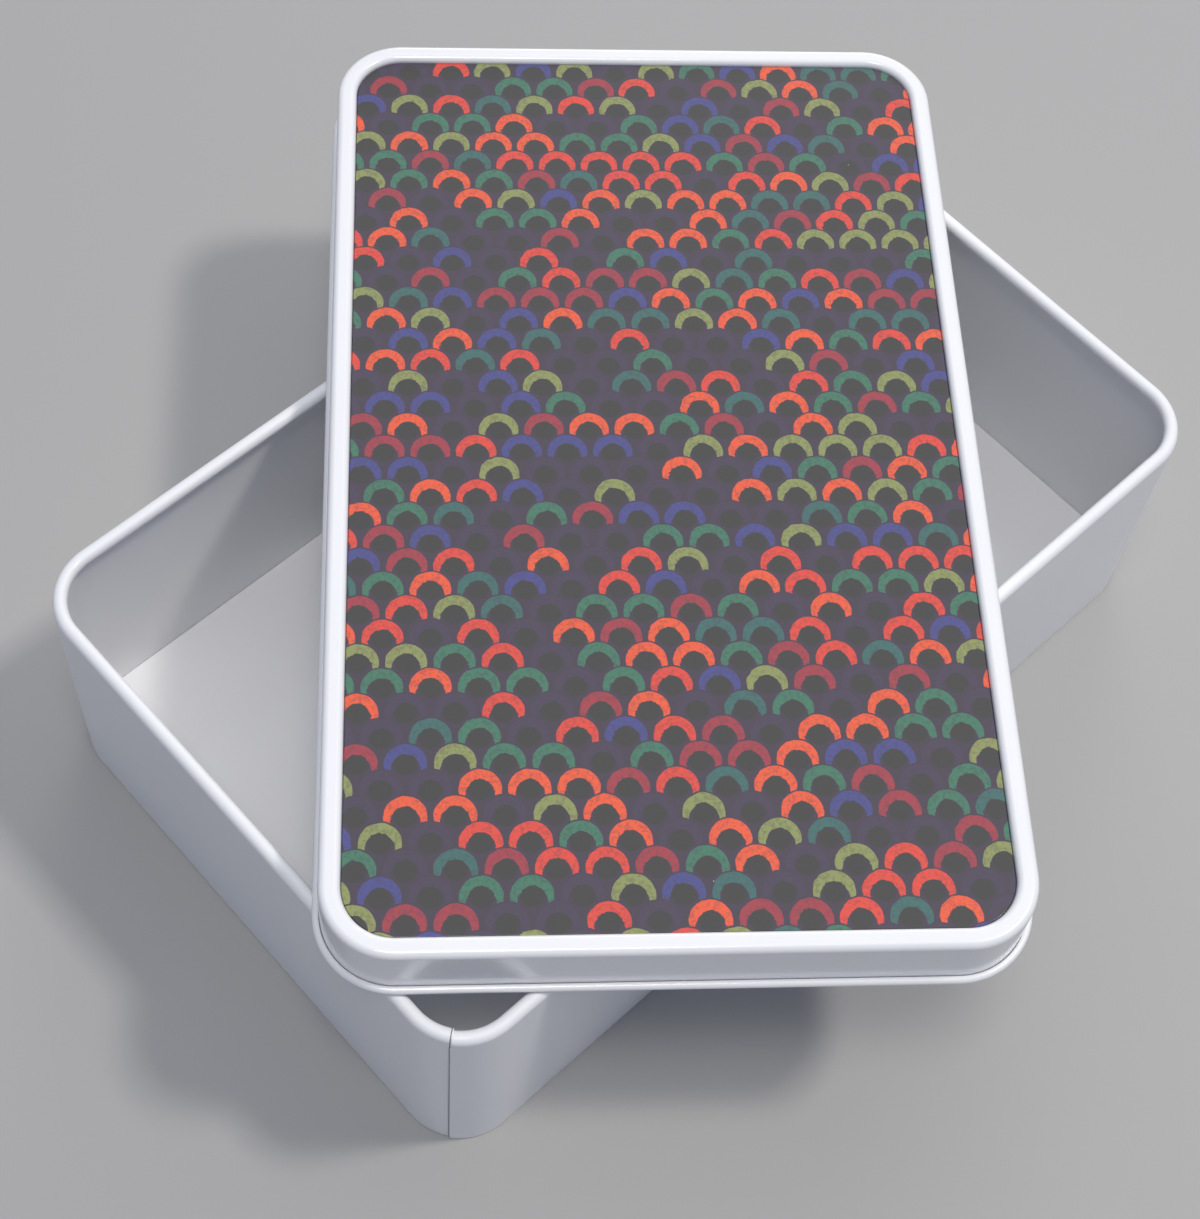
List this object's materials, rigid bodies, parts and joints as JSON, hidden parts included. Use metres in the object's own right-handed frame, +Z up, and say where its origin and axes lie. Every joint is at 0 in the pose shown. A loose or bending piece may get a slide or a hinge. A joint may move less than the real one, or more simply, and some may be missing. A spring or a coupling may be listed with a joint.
{
  "type": "tin box with lift-off lid",
  "caption": "Rectangular slip-lid tin box for cards, standing open with its panel-topped lid lying crosswise on the rim.",
  "frame": {"origin": "middle of the base's outline, on the plane that the base stands on", "axes": "+Z up, out of the open base; +X along the base's long side; +Y along its short side, with the side seam at the corner in -X and -Y"},
  "size_m": [0.2106, 0.2188, 0.0699],
  "materials": {
    "white_enamel": "gloss",
    "printed_panel": "gloss",
    "adhesive": "matte"
  },
  "bodies": {
    "base": {"body_wall": "white_enamel", "bottom_plate": "white_enamel"},
    "lid": {"lid_shell": "white_enamel", "lid_panel": "printed_panel", "panel_adhesive": "adhesive"}
  },
  "joints": [
    {"name": "lid_lift", "type": "slide", "parent": "base", "child": "lid", "axis": [0, 0, 1], "range_m": [0, 0.1]}
  ]
}
